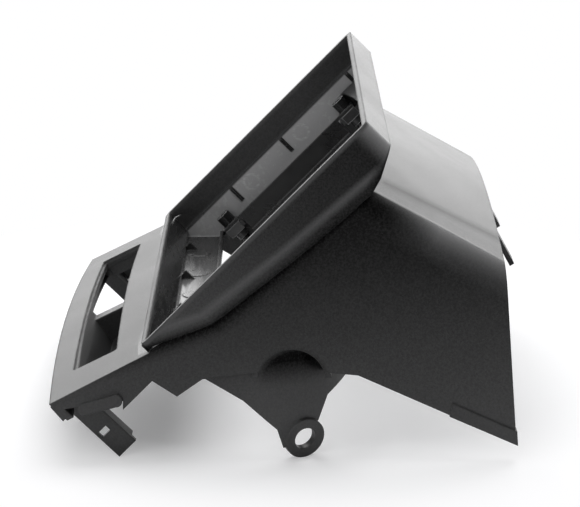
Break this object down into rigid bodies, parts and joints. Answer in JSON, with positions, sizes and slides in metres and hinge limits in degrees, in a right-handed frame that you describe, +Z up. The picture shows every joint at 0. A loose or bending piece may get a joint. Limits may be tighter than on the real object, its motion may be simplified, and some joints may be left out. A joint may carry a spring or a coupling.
{
  "type": "car radio mounting frame",
  "caption": "Dashboard fascia frame that holds a double-height car radio in a tilted bezel, with a rear hood, a slotted lower panel, screw arms and push-in catches.",
  "frame": {"origin": "middle of the part's box in X and Y, on the bench it stands on", "axes": "+X across the width to the fascia's right side, +Y to the rear, +Z up, standing on its eyelet arms and front catches as pictured"},
  "size_m": [0.2064, 0.1718, 0.1237],
  "materials": {
    "moulding": "fine grain, black, smooth and glossy inside the recess",
    "bracket": "black painted sheet steel",
    "screw": "black oxide, bright at the edges",
    "spring_nut": "spring steel"
  },
  "bodies": {
    "root": {"fascia_frame": "moulding", "bracket_left": "bracket", "bracket_right": "bracket", "screw_low_left": "screw", "screw_high_left": "screw", "screw_low_right": "screw", "screw_high_right": "screw", "nut_low_left": "spring_nut", "nut_high_left": "spring_nut", "nut_low_right": "spring_nut", "nut_high_right": "spring_nut"}
  },
  "joints": []
}
